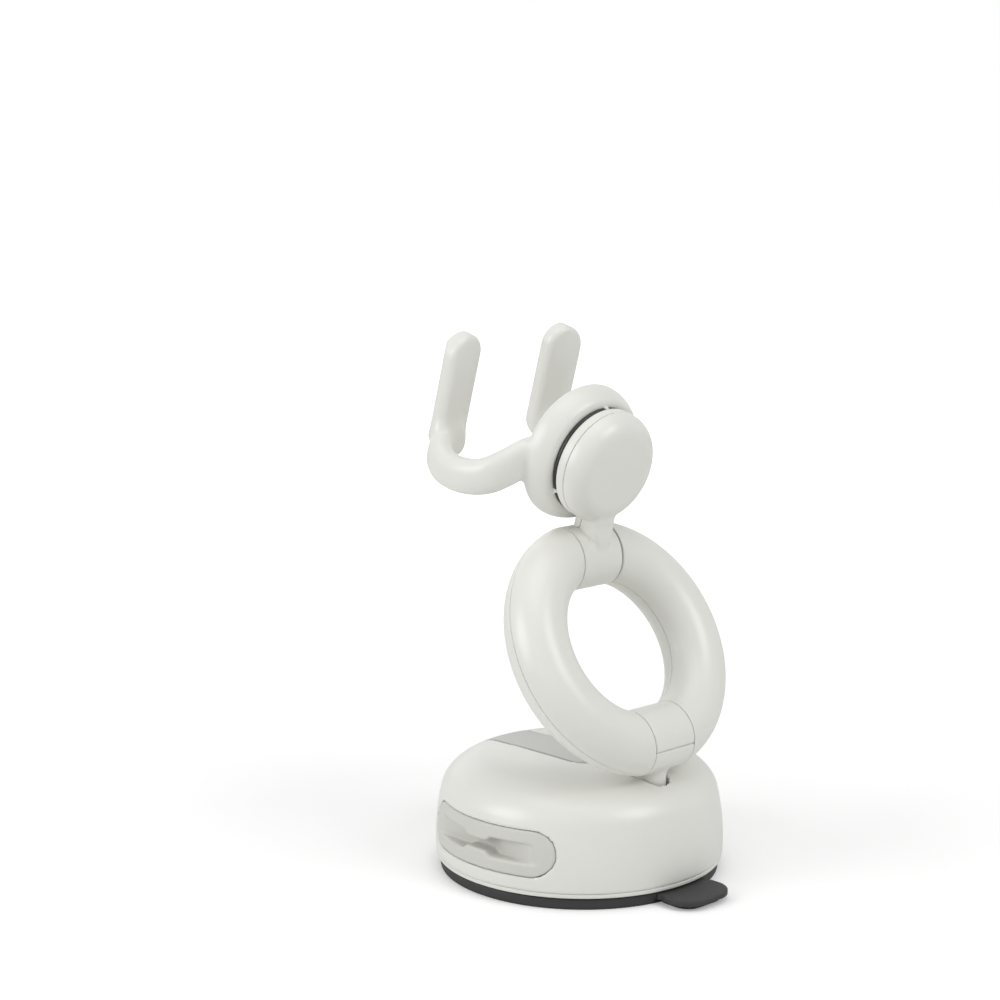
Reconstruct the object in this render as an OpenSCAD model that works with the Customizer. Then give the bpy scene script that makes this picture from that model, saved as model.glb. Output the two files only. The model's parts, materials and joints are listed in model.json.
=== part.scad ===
// Car and desk phone mount: a suction base, a split ring arm between two friction
// hinges, and a swivelling cradle whose two hooked prongs hold a collapsible grip.
// Millimetres. +Z is up, +Y is the rear, X runs along both hinge pins.
// The origin is the centre of the suction cup where it meets the surface.

/* [Suction cup] */
// Radius of the cup at the surface it grips
cup_r = 30.9; // [30.7:0.1:31.1]
// Thickness of the cup at its rim
cup_t = 2.4; // [2.2:0.1:2.5]
// How far the pull tab reaches behind the centre
tab_reach = 39.9; // [38:0.1:43]
// Width of the pull tab
tab_w = 15.6; // [13:0.2:18]
// Radius of the moulded-in lifting disc
plunger_r = 11; // [9:0.5:13]
// Travel of the lifting disc between held and released
plunger_travel = 1.2; // [0.8:0.1:1.2]

/* [Base shell] */
// Widest radius of the base
base_r = 32; // [31.8:0.1:32.1]
// Height of the crown above the surface
base_top = 25.1; // [24.8:0.1:25.2]
// Radius of the shoulder between side and crown
shoulder_r = 6.2; // [5.6:0.1:6.8]
// Wall thickness of the shell
base_wall = 2.3; // [2:0.1:2.6]

/* [Suction lever] */
// Width of the lever
lever_w = 11.2; // [10:0.2:11.6]
// Height of the lever's lower tip above the surface
lever_tip_z = 8.6; // [7.5:0.1:11]
// Gap between the lever and its slot
lever_gap = 0.35; // [0.3:0.05:0.45]
// Height of the lever's pin
lever_pin_z = 19; // [18.8:0.1:19.2]

/* [Cable clip] */
// Height of the clip's middle
clip_z = 11.65; // [11:0.05:12]
// Height of the clip
clip_h = 9.7; // [9:0.1:10.2]
// Half of the clip's width, seen from its side
clip_half = 18.3; // [16:0.1:19]
// Height of the cable groove
groove_h = 4.1; // [3.6:0.1:4.4]
// Height of the groove at its pinch
pinch_h = 2.1; // [1.6:0.1:2.6]

/* [Ring arm] */
// Radius of the ring's centreline
ring_r = 22.16; // [22:0.02:22.4]
// Radius of the ring's round section
tube_r = 6.75; // [6.6:0.05:6.8]
// Wall thickness of the ring's half shells
ring_wall = 1.9; // [1.6:0.1:2.1]
// Forward lean of the ring, in degrees
ring_lean = 30.2; // [25:0.2:35]
// Lower hinge: distance behind the centre
hinge_y = 22.35; // [22.2:0.05:22.5]
// Lower hinge: height
hinge_z = 32.25; // [32.2:0.05:32.6]
// Half length of a hinge barrel
barrel_half = 5.9; // [5.7:0.1:6]
// Extra gap at one end of the upper barrel
upper_gap = 0.45; // [0:0.05:0.6]

/* [Head] */
// Backward tilt of the head, in degrees
head_tilt = 16.12; // [14:0.02:18]
// Distance from the upper hinge to the head's axis
axis_h = 21.05; // [20.8:0.05:21.2]
// Radius of the head's round body
knob_r = 12.4; // [12.2:0.1:12.6]
// Rear face of the body, measured from the hinge
knob_rear = 6; // [5.8:0.1:6.2]
// Rounding of the rear edge
knob_edge = 4; // [3.6:0.1:4.2]
// Where the front and rear shells meet
knob_seam = 1.3; // [1.1:0.1:1.5]
// Front face of the body
knob_front = -1.3; // [-1.4:0.05:-1.2]
// Width of the neck
neck_w = 5.8; // [5.4:0.1:6]

/* [Cradle] */
// Inner radius of the collar
collar_bore = 11.6; // [11.5:0.05:11.8]
// Outer radius of the collar at its rear lip
collar_lip = 12.9; // [12.8:0.05:13]
// How much wider the collar gets for each millimetre forward
collar_flare = 0.59; // [0.55:0.01:0.62]
// Length of the collar
collar_len = 6.9; // [6.7:0.1:7]
// Half width of a prong
prong_half = 5; // [4.6:0.1:5.2]
// Half depth of a prong
prong_depth = 2.7; // [2.4:0.1:2.9]
// Half height of an arm
arm_half = 4.1; // [3.8:0.1:4.3]
// Half thickness of an arm
arm_depth = 2.8; // [2.5:0.1:2.9]

/* [Hidden] */
$fn = 96;
eps = 0.02;
part_gap = 0.05;                    // between pieces that are fastened together

body_white = [0.886, 0.894, 0.867];
trim_grey = [0.80, 0.808, 0.78];
soft_black = [0.16, 0.165, 0.165];
steel = [0.72, 0.73, 0.74];
inner_black = [0.22, 0.22, 0.23];

flange_bottom = 2.7;                // underside of the base plate's visible rim
flange_top = 3.7;                   // the base shell stands on this face
plate_under = 3;                    // underside of the plate inside its rib
rib_inner = 24;                     // the rib presses the cup from this radius outwards
plate_top = 5.6;
side_arc_r = 50;                    // slightly barrelled side
side_mid_z = 6.5;                   // height where the side is widest
crown_arc_r = 555;                  // nearly flat crown
side_c = [base_r - side_arc_r, side_mid_z];
crown_c = [0, base_top - crown_arc_r];
shoulder_c = meet(side_c, side_arc_r - shoulder_r, crown_c, crown_arc_r - shoulder_r);

slot_half = lever_w/2 + lever_gap;
lever_end_y = 2.4;                  // centre of the lever's round rear end
lever_rise = base_top - lever_pin_z;
pin_r = 1.5;
cam_rest = 7;                       // cam height under the pin when the lever is shut
cam_turn = 80;                      // degrees from shut to released
cam_rate = plunger_travel/(cam_turn*PI/180);

post_r = 4;
post_top = 10.6;                    // the round post ends here, below the cam ears
post_half = 3;                      // half width of the post's eye
tab_under = 1.05;                   // the tab's upper plate starts at this height
screw_r = 1.2;
screw_hole = 1.25;
base_screw_r = 21;
foot_screw_at = [5.4, 19.5];

fin_half = 2.75;
fin_slot_half = 3.25;
fin_rear = 24.9;
fin_slot_rear = 25.7;

axle_r = 1.5;
axle_bore = 1.55;
axle_head_r = 2.4;
end_wall = 1.95;                    // closed end of a ring half
ring_start = barrel_half + 0.15;
washer_r = 5.5;
washer_seat = 0.5;                  // depth of a washer's seat on each side
axle_end = ring_start + end_wall;
seam_w = 0.16;                      // half height of the seam groove

neck_ridge = [63.4, 74, 5.82];      // rear flanks: heading, steepness, distance from the hinge

collar_rear = -2.24;                // rear lip, measured from the upper hinge
collar_front = collar_rear - collar_len;
web_rear = -4.3;
web_front = -6;
hub_r = 7;

function meet(a, ra, b, rb) =       // upper right crossing of two circles
    let (d = norm(b - a), u = (b - a)/d, t = (ra*ra - rb*rb + d*d)/(2*d),
         h = sqrt(ra*ra - t*t), p = a + t*u)
    p[0] + h*u[1] > p[0] - h*u[1] ? p + h*[u[1], -u[0]] : p + h*[-u[1], u[0]];
function bearing(v) = atan2(v[1], v[0]);
function arc(c, r, a0, a1, n) = [for (i = [0:n]) let (a = a0 + (a1 - a0)*i/n)
    c + r*[cos(a), sin(a)]];

// Half outline of the base, drawn inset from its skin and starting at height z0
function base_outline(inset, z0) = concat([[0, z0]],
    arc(side_c, side_arc_r - inset, asin((z0 - side_mid_z)/(side_arc_r - inset)),
        bearing(shoulder_c - side_c), 7),
    arc(shoulder_c, shoulder_r - inset, bearing(shoulder_c - side_c) + 5,
        bearing(shoulder_c - crown_c), 9),
    arc(crown_c, crown_arc_r - inset, bearing(shoulder_c - crown_c) + 0.5, 90, 4));
module base_form(inset, z0) rotate_extrude() polygon(base_outline(inset, z0));

module along_x(r, x0, x1) translate([x0, 0, 0]) rotate([0, 90, 0]) cylinder(r = r, h = x1 - x0);
module along_y(r, y0, y1) translate([0, y0, 0]) rotate([-90, 0, 0]) cylinder(r = r, h = y1 - y0);
module box(x0, x1, y0, y1, z0, z1) translate([x0, y0, z0]) cube([x1 - x0, y1 - y0, z1 - z0]);
module side_profile(x0, x1) translate([x0, 0, 0]) rotate([90, 0, 90]) linear_extrude(x1 - x0)
    children();
module base_screw_places() for (a = [45:90:315]) rotate(a) translate([base_screw_r, 0]) children();
module foot_screw_places() for (s = [-1, 1]) translate([s*foot_screw_at[0], foot_screw_at[1]])
    children();
module screw(z0, head, length) {
    translate([0, 0, z0]) cylinder(r = 2.3, h = head);
    translate([0, 0, z0 + head - eps]) cylinder(r = screw_r, h = length);
}

// Suction cup, moulded in one piece with its pull tab
module tab_outline(half, reach, corner) {
    translate([-half, cup_r - 4]) square([2*half, reach - corner - cup_r + 4]);
    translate([-half + corner, cup_r - 4]) square([2*(half - corner), reach - cup_r + 4]);
    for (s = [-1, 1]) translate([s*(half - corner), reach - corner]) circle(corner);
}
module suction_cup() color(soft_black) difference() {
    union() {
        rotate_extrude() polygon([[0, 1.2], [20, 0.8], [25.5, 0], [cup_r - 0.4, 0],
            [cup_r, 0.4], [cup_r - 0.3, 1.6], [cup_r - 1, cup_t], [0, cup_t]]);
        translate([0, 0, tab_under]) linear_extrude(cup_t - tab_under)
            tab_outline(tab_w/2, tab_reach, 5.2);
        translate([0, 0, 0.1]) linear_extrude(tab_under) tab_outline(tab_w/2 - 1.4, tab_reach - 1.9, 4.4);
    }
    translate([0, 0, 1.7]) cylinder(r = plunger_r + part_gap, h = 5);
    rotate_extrude() polygon([[rib_inner - 1, cup_t - part_gap], [base_r + 1, cup_t - part_gap],
        [base_r + 1, 4], [rib_inner - 1, 4]]);
    for (s = [-1, 1]) translate([s*(tab_w/2 + 0.35), cup_r + 0.9, 0]) cylinder(r = 0.8, h = 4);
}

// Lifting disc and post, drawn up by the lever
module suction_plunger() color(inner_black) difference() {
    union() {
        translate([0, 0, 1.75]) cylinder(r = plunger_r, h = 1);
        translate([0, 0, 2.7]) cylinder(r = post_r, h = post_top - 2.7);
        intersection() {
            translate([0, 0, post_top - eps]) cylinder(r = post_r, h = lever_pin_z - post_top);
            box(-post_half, post_half, -3.4, 3.4, post_top - 1, lever_pin_z);
        }
        translate([0, 0, lever_pin_z]) along_x(3.4, -post_half, post_half);
    }
    translate([0, 0, lever_pin_z]) along_x(pin_r, -post_half - 1, post_half + 1);
}

// Base plate: visible lower rim, pressure rib, post guide and the two cam pads
module base_plate() color(body_white) difference() {
    union() {
        rotate_extrude() polygon([[0, plate_under], [rib_inner, plate_under], [rib_inner, cup_t],
            [29.6, cup_t], [30.4, flange_bottom], [base_r - 0.5, flange_bottom],
            [base_r - 0.2, flange_bottom + 0.3], [base_r - 0.15, flange_top - 0.2],
            [base_r - 0.4, flange_top], [29.2, flange_top], [29.2, plate_top], [0, plate_top]]);
        translate([0, 0, plate_top - eps]) cylinder(r = 6.6, h = 3.4);
        for (side = [0, 1]) mirror([side, 0, 0])
            box(3.6, 5.4, -4.6, 1.8, plate_top - eps, lever_pin_z - cam_rest - 0.12);
    }
    translate([0, 0, 2]) cylinder(r = post_r + 0.08, h = 12);
    base_screw_places() screw_hole_cut();
    foot_screw_places() screw_hole_cut();
}
module screw_hole_cut() {
    translate([0, 0, 2]) cylinder(r = 2.45, h = 2.5);
    translate([0, 0, 2]) cylinder(r = 1.5, h = 5);
}
module base_screws() color(steel) base_screw_places() screw(3.1, 1.35, 9);
module foot_screws() color(steel) foot_screw_places() screw(3.1, 1.35, 5);

// Lever slot: straight along the lever, with a rear end that turns about the pin
function rear_reach(x, half, gap) = sqrt(pow(lever_end_y + sqrt(max(0, half*half - x*x)), 2)
    + lever_rise*lever_rise) + gap;
module rear_end(half, gap) {
    steps = 12;
    translate([0, 0, lever_pin_z]) rotate([0, 90, 0]) rotate_extrude()
        polygon(concat([[0, -half]], [for (i = [-steps:steps]) let (x = half*sin(90*i/steps))
            [rear_reach(x, half, gap), x]], [[0, half]]));
}
module lever_slot() {
    box(-slot_half, slot_half, -40, lever_end_y, lever_tip_z - lever_gap, 30);
    rear_end(slot_half, 0.02);
}
module clip_outline(grow) {
    r = clip_h/2 + grow;
    span = clip_half + grow - r;
    translate([-span, clip_z - r]) square([2*span, 2*r]);
    for (s = [-1, 1]) translate([s*span, clip_z]) circle(r);
}
module fin_outline(half, y0, y1, r) {
    translate([-half, y0]) square([2*half, y1 - r - y0]);
    translate([-half + r, y0]) square([2*(half - r), y1 - y0]);
    for (s = [-1, 1]) translate([s*(half - r), y1 - r]) circle(r);
}

// Base shell: crowned cover, open for the lever, the hinge foot and the cable clip
module base_shell() color(body_white) difference() {
    union() {
        difference() {
            base_form(0, flange_top + part_gap);
            base_form(base_wall, flange_top - 1);
        }
        intersection() {
            base_screw_places() translate([0, 0, plate_top + part_gap]) cylinder(r = 2.7, h = 20);
            base_form(base_wall/2, flange_top);
        }
    }
    base_screw_places() translate([0, 0, 4]) cylinder(r = screw_hole, h = 10.5);
    lever_slot();
    translate([0, 0, 14]) linear_extrude(16) fin_outline(fin_slot_half, 15.6, fin_slot_rear, 3.1);
    side_profile(20, 40) clip_outline(0.1);
}

// Lever: a curved skin flush with the shell, with two cam ears on the pin
function cam_points() = [for (a = [-30:7.5:112.5]) let (h = cam_rest - cam_rate*a*PI/180)
    h*[sin(a), -cos(a)] - cam_rate*[cos(a), sin(a)]];
module suction_lever() color(trim_grey) difference() {
    intersection() {
        union() {
            difference() {
                base_form(0, 4);
                base_form(3, 3);
                box(-40, 40, lever_end_y, 40, 0, 30);
            }
            intersection() {
                rear_end(lever_w/2, 0);
                box(-40, 40, -6, 20, lever_pin_z + 3.2, 30);
            }
            for (side = [0, 1]) mirror([side, 0, 0]) translate([0, 0, lever_pin_z])
                side_profile(post_half + 0.4, lever_w/2) {
                    polygon(concat(cam_points(), [[-6.4, 3.6]]));
                    translate([-3, 1]) square([6, 3]);
                }
        }
        base_form(0, 3);
        box(-lever_w/2, lever_w/2, -40, 20, lever_tip_z, 30);
        union() {
            rear_end(lever_w/2, 0);
            box(-40, 40, -40, lever_end_y - 2, 0, 30);
        }
    }
    translate([0, 0, lever_pin_z]) along_x(pin_r + 0.05, -lever_w/2 + 0.5, lever_w/2 - 0.5);
    translate([0, 0, lever_pin_z]) along_x(3.8, -post_half - 0.4, post_half + 0.4);
}
module lever_pin() color(steel)
    translate([0, 0, lever_pin_z]) along_x(pin_r, -lever_w/2 + 0.6, lever_w/2 - 0.6);

// Cable clip: soft insert held behind the shell by its flange, with a pinched groove
module groove_outline() {
    r = groove_h/2;
    difference() {
        hull_free_slot(14.4, groove_h, 1.6);
        for (s = [-1, 1]) translate([0, clip_z]) scale_y(s) polygon([[-4.2, r + 1], [-4.2, r],
            [-2.6, pinch_h/2 + 0.1], [-2.2, pinch_h/2], [2.2, pinch_h/2], [2.6, pinch_h/2 + 0.1],
            [4.2, r], [4.2, r + 1]]);
    }
}
module scale_y(s) mirror([0, s > 0 ? 0 : 1]) children();
module hull_free_slot(half, h, corner) translate([0, clip_z]) {
    square([2*half, h - 2*corner], center = true);
    square([2*(half - corner), h], center = true);
    for (i = [-1, 1], j = [-1, 1]) translate([i*(half - corner), j*(h/2 - corner)]) circle(corner);
}
module cable_clip() color(trim_grey) difference() {
    union() {
        intersection() {
            difference() {
                base_form(0, 4);
                base_form(base_wall + 0.1, 3);
            }
            side_profile(20, 40) clip_outline(0);
        }
        intersection() {
            difference() {
                base_form(base_wall + 0.08, 4.5);
                base_form(4.5, 3);
            }
            side_profile(18, 40) clip_outline(1.1);
            box(14, 40, -40, 40, plate_top + 0.1, 18);
        }
    }
    difference() {
        side_profile(20, 40) groove_outline();
        base_form(3.5, 3);
    }
}

// Hinge foot: flange inside the base, fin through the slot and lower half barrel
module at_lower_hinge() translate([0, hinge_y, hinge_z]) children();
module hinge_foot() color(body_white) difference() {
    union() {
        box(-8, 8, 12.5, 25.6, plate_top + part_gap, 10);
        translate([0, 0, 9]) linear_extrude(hinge_z - 12) fin_outline(fin_half, 17.6, fin_rear, 2.6);
        at_lower_hinge() intersection() {
            along_x(tube_r, -barrel_half, barrel_half);
            box(-10, 10, -10, 10, -10, -part_gap/2);
        }
    }
    at_lower_hinge() {
        along_x(axle_bore, -10, 10);
        washer_seats();
        for (s = [-1, 1]) translate([s*3, 0, -3]) cylinder(r = 1.02, h = 6);
        for (s = [-1, 1]) translate([s*3, 4.2, -2.5]) cylinder(r = 0.92, h = 6);
    }
    foot_screw_places() translate([0, 0, 4]) cylinder(r = screw_hole, h = 7);
}
module hinge_cap() color(body_white) at_lower_hinge() {
    difference() {
        intersection() {
            along_x(tube_r, -barrel_half, barrel_half);
            box(-10, 10, -10, 10, part_gap/2, 10);
        }
        along_x(axle_bore, -10, 10);
        washer_seats();
    }
    for (s = [-1, 1]) translate([s*3, 4.2, -2.4]) cylinder(r = 0.9, h = 4);
}
module washer_seats(extra = 0) {
    along_x(washer_r + 0.12, barrel_half - washer_seat, barrel_half + 1);
    along_x(washer_r + 0.12, -barrel_half - 1, -barrel_half + washer_seat + extra);
}

// Ring arm: four hollow half shells, two to each side
module in_ring() at_lower_hinge() rotate([ring_lean, 0, 0]) children();
module torus(r) translate([0, 0, ring_r]) rotate([90, 0, 0]) rotate_extrude()
    translate([ring_r, 0]) circle(r);
module ring_half(side, face) {
    x0 = side > 0 ? ring_start : -40;
    x1 = side > 0 ? 40 : -ring_start;
    hollow0 = side > 0 ? ring_start + end_wall : -40;
    hollow1 = side > 0 ? 40 : -ring_start - end_wall;
    in_ring() {
        difference() {
            intersection() {
                torus(tube_r);
                box(x0, x1, face > 0 ? 0 : -10, face > 0 ? 10 : 0, -10, 60);
            }
            intersection() {
                torus(tube_r - ring_wall);
                box(hollow0, hollow1, -10, 10, -10, 60);
            }
            seam_grooves();
            for (z = [0, 2*ring_r]) translate([0, 0, z]) {
                along_x(axle_r + 0.02, -axle_end - eps, axle_end + eps);
                along_x(washer_r + 0.12, -ring_start - washer_seat, ring_start + washer_seat);
            }
        }
        for (a = [-42, 42]) translate([0, 0, ring_r]) rotate([0, a, 0])
            half_pin(side, face);
    }
}
module seam_grooves() translate([0, 0, ring_r]) rotate([90, 0, 0]) rotate_extrude()
    for (r = [ring_r - tube_r - 0.4, ring_r + tube_r - 0.22]) translate([r, -seam_w])
        square([0.62, 2*seam_w]);
module half_pin(side, face) {
    if (face > 0) dowel(side);
    else dowel_socket(side);
}
module dowel(side) translate([side*ring_r, 0, 0]) along_y(1.1, -2.4, tube_r - ring_wall + 0.6);
module dowel_socket(side) translate([side*ring_r, 0, 0]) difference() {
    along_y(2.1, -tube_r + ring_wall - 0.6, -part_gap);
    along_y(1.13, -2.6, 1);
}
module ring_left_front() color(body_white) ring_half(1, -1);
module ring_left_rear() color(body_white) ring_half(1, 1);
module ring_right_front() color(body_white) ring_half(-1, -1);
module ring_right_rear() color(body_white) ring_half(-1, 1);

// Hinge hardware, the same at both ends of the ring
module axle_at(z) color(steel) in_ring() translate([0, 0, z]) {
    along_x(axle_r, -axle_end - 1.9, axle_end + 0.1);
    along_x(axle_head_r, axle_end, axle_end + 1.4);
}
module axle_nut_at(z) color(steel) in_ring() translate([-axle_end - 0.5, 0, z]) difference() {
    rotate([0, -90, 0]) cylinder(r = 2.55, h = 1.3, $fn = 6);
    along_x(axle_r + 0.02, -3, 1);
}
module spring_washer_at(z) color(steel) in_ring() translate([0, 0, z]) difference() {
    along_x(2.45, -axle_end - 0.47, -axle_end - 0.03);
    along_x(axle_r + 0.05, -20, 0);
}
module friction_washers_at(z, extra) color(inner_black) in_ring() translate([0, 0, z]) difference() {
    union() {
        along_x(washer_r, barrel_half - washer_seat + 0.03, ring_start + washer_seat - 0.03);
        along_x(washer_r, -ring_start - washer_seat + 0.03, -barrel_half + washer_seat + extra - 0.03);
    }
    along_x(axle_r + 0.05, -20, 20);
}
module lower_axle() axle_at(0);
module lower_axle_nut() axle_nut_at(0);
module lower_spring_washer() spring_washer_at(0);
module lower_friction_washers() friction_washers_at(0, 0);
module upper_axle() axle_at(2*ring_r);
module upper_axle_nut() axle_nut_at(2*ring_r);
module upper_spring_washer() spring_washer_at(2*ring_r);
module upper_friction_washers() friction_washers_at(2*ring_r, upper_gap);

// Head: rear shell with the neck and upper barrel, front shell with its tongue
module in_head() translate([0, hinge_y - 2*ring_r*sin(ring_lean), hinge_z + 2*ring_r*cos(ring_lean)])
    rotate([-head_tilt, 0, 0]) children();
module on_axis() translate([0, 0, axis_h]) children();
module turned(points) on_axis() rotate([-90, 0, 0]) rotate_extrude() polygon(points);
function rear_outline(r, y0, face, edge) = concat([[0, y0], [r, y0]],
    arc([r - edge, face - edge], edge, 0, 90, 7), [[0, face]]);
function neck_side() = arc([neck_w/2 + 3.2, 9.4], 3.2, 180, 250, 6);
module neck_form() intersection() {
    translate([0, 10, 0]) rotate([90, 0, 0]) linear_extrude(10 - knob_front) polygon(concat(
        neck_side(), [for (i = [6:-1:0]) [-neck_side()[i][0], neck_side()[i][1]]],
        [[-neck_w/2, 12], [neck_w/2, 12]]));
    for (side = [0, 1]) mirror([side, 0, 0]) rotate([0, neck_ridge[1], neck_ridge[0]])
        translate([-20, -20, neck_ridge[2] - 40]) cube(40);
}

head_screw_at = [8, 3.2];           // sideways and above the head's axis
module head_screw_places() for (s = [-1, 1]) translate([s*head_screw_at[0], 0, axis_h + head_screw_at[1]])
    rotate([-90, 0, 0]) children();
module head_rear_shell() color(body_white) in_head() difference() {
    union() {
        along_x(tube_r, -barrel_half + upper_gap, barrel_half);
        neck_form();
        difference() {
            turned(rear_outline(knob_r, knob_seam, knob_rear, knob_edge));
            turned(rear_outline(knob_r - 2, knob_seam - 1, knob_rear - 1.8, 2.4));
        }
        translate([0, knob_seam + part_gap, 0]) head_screw_places() cylinder(r = 2, h = 3.4);
        on_axis() along_y(3.4, knob_seam + part_gap, knob_rear - 1);
    }
    along_x(axle_bore, -10, 10);
    washer_seats(upper_gap);
    box(-neck_w/2 - eps, neck_w/2 + eps, -4, 0.6, 5.55, axis_h);
    box(-neck_w/2 - 0.2, neck_w/2 + 0.2, -4, knob_seam + part_gap/2, 8.6, axis_h);
    head_screw_places() cylinder(r = 0.82, h = 4.2);
    on_axis() along_y(1.02, 0, 5);
}
module head_front_shell() color(body_white) in_head() difference() {
    union() {
        difference() {
            turned([[0, knob_front], [knob_r - 1.2, knob_front], [knob_r - 0.35, knob_front + 0.35],
                [knob_r, knob_front + 1.2], [knob_r, knob_seam - part_gap], [0, knob_seam - part_gap]]);
            turned([[3.6, knob_front + 1.7], [knob_r - 2, knob_front + 1.7], [knob_r - 2, 4], [3.6, 4]]);
        }
        on_axis() along_y(hub_r, web_front - 0.45, knob_front + eps);
        box(-neck_w/2, neck_w/2, knob_front, 0.6 - part_gap, 7.2, 12);
        translate([0, 0, 7.2]) intersection() {
            along_y(neck_w/2, knob_front, 0.6 - part_gap);
            box(-4, 4, -4, 4, -1.6, 1);
        }
    }
    on_axis() along_y(1.55, -10, 4);
    on_axis() along_y(5.4, web_front - 1, web_rear + 1.4);
    head_screw_places() {
        translate([0, 0, -3]) cylinder(r = 1, h = 5);
        translate([0, 0, knob_front - 1]) cylinder(r = 1.75, h = 1.9);
    }
}
module head_screws() color(steel) in_head() head_screw_places() {
    translate([0, 0, knob_front + 0.1]) cylinder(r = 1.65, h = 0.8);
    translate([0, 0, knob_front + 0.8]) cylinder(r = 0.8, h = 4);
}

// Swivel: keyed glide ring, retainer with spring washer, and one screw
key_angles = [90, 210, 330];
module glide_ring() color(soft_black) in_head() on_axis() difference() {
    along_y(collar_bore - 0.12, web_rear + part_gap, knob_front - 0.12);
    along_y(hub_r + 0.12, -20, 0);
    for (a = key_angles) rotate([0, -a, 0]) box(collar_bore - 1.05, 14, -6, 0, -0.68, 0.68);
}
module swivel_spring_washer() color(steel) in_head() on_axis() difference() {
    along_y(9.2, web_front - 0.4, web_front - 0.04);
    along_y(hub_r + 0.1, -20, 0);
}
module swivel_retainer() color(steel) in_head() on_axis() difference() {
    along_y(9.8, web_front - 1.35, web_front - 0.47);
    along_y(1.55, -20, 0);
}
module swivel_screw() color(steel) in_head() on_axis() {
    along_y(3.2, web_front - 2.6, web_front - 1.37);
    along_y(1, web_front - 1.4, 4.2);
}

// Cradle: flared collar with two lofted hooks, each an arm that ends in a prong
collar_edge = 2.7;
lip_edge = 0.85;
function collar_outer(y) = collar_lip + collar_flare*(collar_rear - y);
module collar_form() {
    cone = atan(collar_flare);
    front_y = collar_front + collar_edge;
    turned(concat([[0, collar_rear - lip_edge - 0.2], [collar_bore - 0.02, collar_rear - lip_edge - 0.1]],
        arc([collar_bore + lip_edge, collar_rear - lip_edge], lip_edge, 180, cone, 8),
        arc([collar_outer(front_y) - collar_edge/cos(cone), front_y], collar_edge, cone, -90, 10),
        [[0, collar_front]]));
}
// Stations along a hook: x, rearward, height, half width, half depth, lean of the depth axis, taper
grip_plane = -36.6;                 // the phone's back, measured from the upper hinge
grip_mid = 19.57;                   // height of the grip's middle above the upper hinge
hook = [
    [10.5, 27.6, 0.9, arm_depth - 0.5, arm_half + 0.3, 0, 0],
    [14.2, 27.2, 0.1, arm_depth - 0.3, arm_half + 0.1, 0, 0],
    [17.8, 25.6, -1.7, arm_depth - 0.1, arm_half, 0, 0],
    [20.6, 22.4, -4.1, arm_depth, arm_half, 0, 0],
    [22.0, 18.0, -6.2, arm_depth, arm_half - 0.1, 0, 0],
    [22.1, 13.4, -7.0, arm_depth, arm_half - 0.1, 0, 0],
    [20.9, 9.4, -6.1, arm_depth + 0.1, arm_half - 0.3, 20, 0.05],
    [19.0, 6.7, -3.9, arm_depth + 0.7, arm_half - 0.8, 50, 0.15],
    [17.3, 5.4, -0.6, arm_depth + 1.6, prong_depth + 0.3, 80, 0.3],
    [16.4, 4.9, 3.4, prong_half - 0.1, prong_depth, 90, 0.4],
    [16.1, 4.8, 8.4, prong_half + 0.3, prong_depth, 90, 0.42],
    [16.3, 4.8, 13.4, prong_half + 0.3, prong_depth, 90, 0.42],
    [16.5, 4.8, 17.0, prong_half - 0.2, prong_depth, 90, 0.4],
    [16.5, 4.8, 19.2, prong_half - 1.2, prong_depth - 0.2, 90, 0.36],
    [16.5, 4.8, 20.5, prong_half - 2.3, prong_depth - 0.8, 90, 0.3],
    [16.5, 4.8, 21.1, prong_half - 3.6, prong_depth - 1.6, 90, 0.2],
    [16.5, 4.8, 21.2, 0.6, 0.5, 90, 0.1]];
hook_steps = 3;                     // rings between one station and the next
hook_sides = 18;
function clampi(i) = max(0, min(len(hook) - 1, i));
function spline(i, t) = let (a = hook[clampi(i - 1)], b = hook[i], c = hook[clampi(i + 1)],
    d = hook[clampi(i + 2)]) b + 0.5*t*((c - a) + t*((2*a - 5*b + 4*c - d) + t*(3*b - a - 3*c + d)));
function station(k) = k >= (len(hook) - 1)*hook_steps ? hook[len(hook) - 1]
    : spline(floor(k/hook_steps), k/hook_steps - floor(k/hook_steps));
function place(s) = [s[0], s[1] + grip_plane, s[2] + grip_mid];
function unit(v) = v/norm(v);
function soft(c) = sign(c)*pow(abs(c), 0.8);
function section(k) = let (last = (len(hook) - 1)*hook_steps, s = station(k),
    t = unit(place(station(min(last, k + 1))) - place(station(max(0, k - 1)))),
    up = [0, sin(s[5]), cos(s[5])], e2 = unit(up - (up*t)*t), e1 = cross(e2, t))
    [for (j = [0:hook_sides - 1]) let (a = 360*j/hook_sides, u = soft(cos(a)), v = soft(sin(a)))
        place(s) + s[3]*u*(1 - s[6]*(v + 1)/2)*e1 + s[4]*v*e2];
module hook_form() {
    rings = (len(hook) - 1)*hook_steps + 1;
    n = hook_sides;
    polyhedron([for (k = [0:rings - 1]) each section(k)], concat(
        [[for (j = [0:n - 1]) j]],
        [for (k = [0:rings - 2], j = [0:n - 1]) let (a = k*n + j, b = k*n + (j + 1) % n)
            each [[a, a + n, b], [b, a + n, b + n]]],
        [[for (j = [n - 1:-1:0]) (rings - 1)*n + j]]));
}
module cradle() color(body_white) in_head() difference() {
    union() {
        collar_form();
        hook_form();
        mirror([1, 0, 0]) hook_form();
    }
    on_axis() {
        difference() {
            along_y(collar_bore, web_rear, 2);
            for (a = key_angles) rotate([0, -a, 0]) box(collar_bore - 0.95, 14, -7, -2.5, -0.6, 0.6);
        }
        along_y(hub_r + 0.06, -20, 0);
        along_y(12.6, collar_front - 4, web_front);
        along_y(13.6, collar_front - 4, collar_front + 1.1);
    }
}
module cradle_cap() color(body_white) in_head() turned(concat([[0, collar_front + 0.25],
    [13.5, collar_front + 1.05], [13.5, collar_front + 0.4]],
    [for (i = [1:6]) [13.5*cos(15*i), collar_front + 0.4 - 1.3*sin(15*i)]]));

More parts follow.
